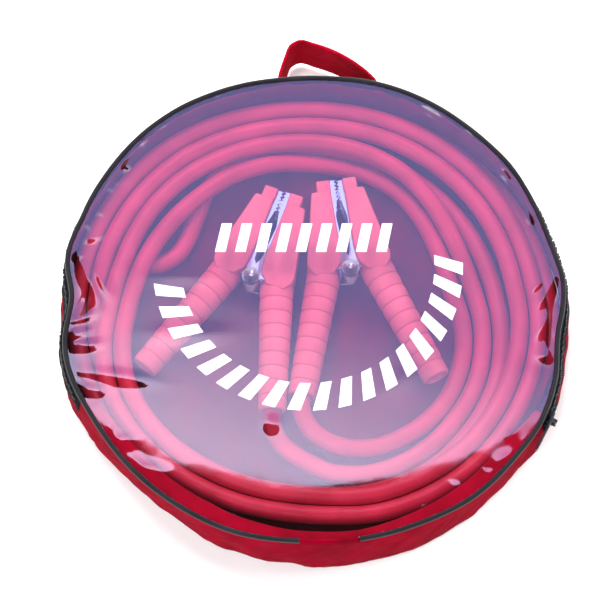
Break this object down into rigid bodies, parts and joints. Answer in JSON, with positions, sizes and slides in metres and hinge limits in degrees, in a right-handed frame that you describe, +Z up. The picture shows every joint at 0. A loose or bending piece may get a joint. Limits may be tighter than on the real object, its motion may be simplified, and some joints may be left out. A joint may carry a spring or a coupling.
{
  "type": "car jumper cable",
  "caption": "Red car jumper lead with spring clamps, folded and coiled inside a round zipped carry bag with a clear window and a webbing handle.",
  "frame": {"origin": "centre of the underside of the bag's round back panel", "axes": "+Z up out of the clear window with the bag lying on its back, +Y towards the carry handle, +X to the right as the window is looked at"},
  "size_m": [0.361, 0.3974, 0.0483],
  "materials": {
    "red_nylon": "woven nylon",
    "red_webbing": "woven webbing",
    "clear_vinyl": "clear glossy sheet",
    "black_tape": "woven tape with zip teeth",
    "black_piping": "soft piping",
    "black_metal": "black painted",
    "red_insulation": "smooth satin insulation",
    "red_plastic": "moulded satin",
    "bright_steel": "bright plated"
  },
  "bodies": {
    "bag_with_lead": {"back_panel": "red_nylon", "window": "clear_vinyl", "side_wall": "red_nylon", "zip_tape_lower": "black_tape", "zip_tape_upper": "black_tape", "piping": "black_piping", "piping_join": "red_webbing", "handle_strap": "red_webbing", "red_cable": "red_insulation", "left_clamp_fixed_cover": "red_plastic", "left_clamp_fixed_jaw": "bright_steel", "left_clamp_pivot_pin": "bright_steel", "left_clamp_spring": "bright_steel", "right_clamp_fixed_cover": "red_plastic", "right_clamp_fixed_jaw": "bright_steel", "right_clamp_pivot_pin": "bright_steel", "right_clamp_spring": "bright_steel"},
    "left_clamp_arm": {"left_clamp_moving_cover": "red_plastic", "left_clamp_moving_jaw": "bright_steel"},
    "right_clamp_arm": {"right_clamp_moving_cover": "red_plastic", "right_clamp_moving_jaw": "bright_steel"},
    "zip_slider": {"zip_slider": "black_metal"},
    "zip_pull": {"zip_pull": "black_metal"}
  },
  "joints": [
    {"name": "left_clamp_hinge", "type": "hinge", "parent": "bag_with_lead", "child": "left_clamp_arm", "pos_m": [-0.045, 0.027, 0.0146], "axis": [0, 0, 1], "range_deg": [0, 20], "stiffness_Nm_per_rad": 1.5, "springref_deg": -40.11},
    {"name": "right_clamp_hinge", "type": "hinge", "parent": "bag_with_lead", "child": "right_clamp_arm", "pos_m": [0.026, 0.033, 0.0146], "axis": [0, 0, -1], "range_deg": [0, 12], "stiffness_Nm_per_rad": 1.5, "springref_deg": -40.11},
    {"name": "zip_travel", "type": "hinge", "parent": "bag_with_lead", "child": "zip_slider", "pos_m": [0, 0, 0.03745], "axis": [0, 0, 1], "range_deg": [0, 229]},
    {"name": "zip_pull_swing", "type": "hinge", "parent": "zip_slider", "child": "zip_pull", "pos_m": [0.1625, -0.0864, 0.03745], "axis": [0, 0, 1], "range_deg": [0, 170]}
  ]
}
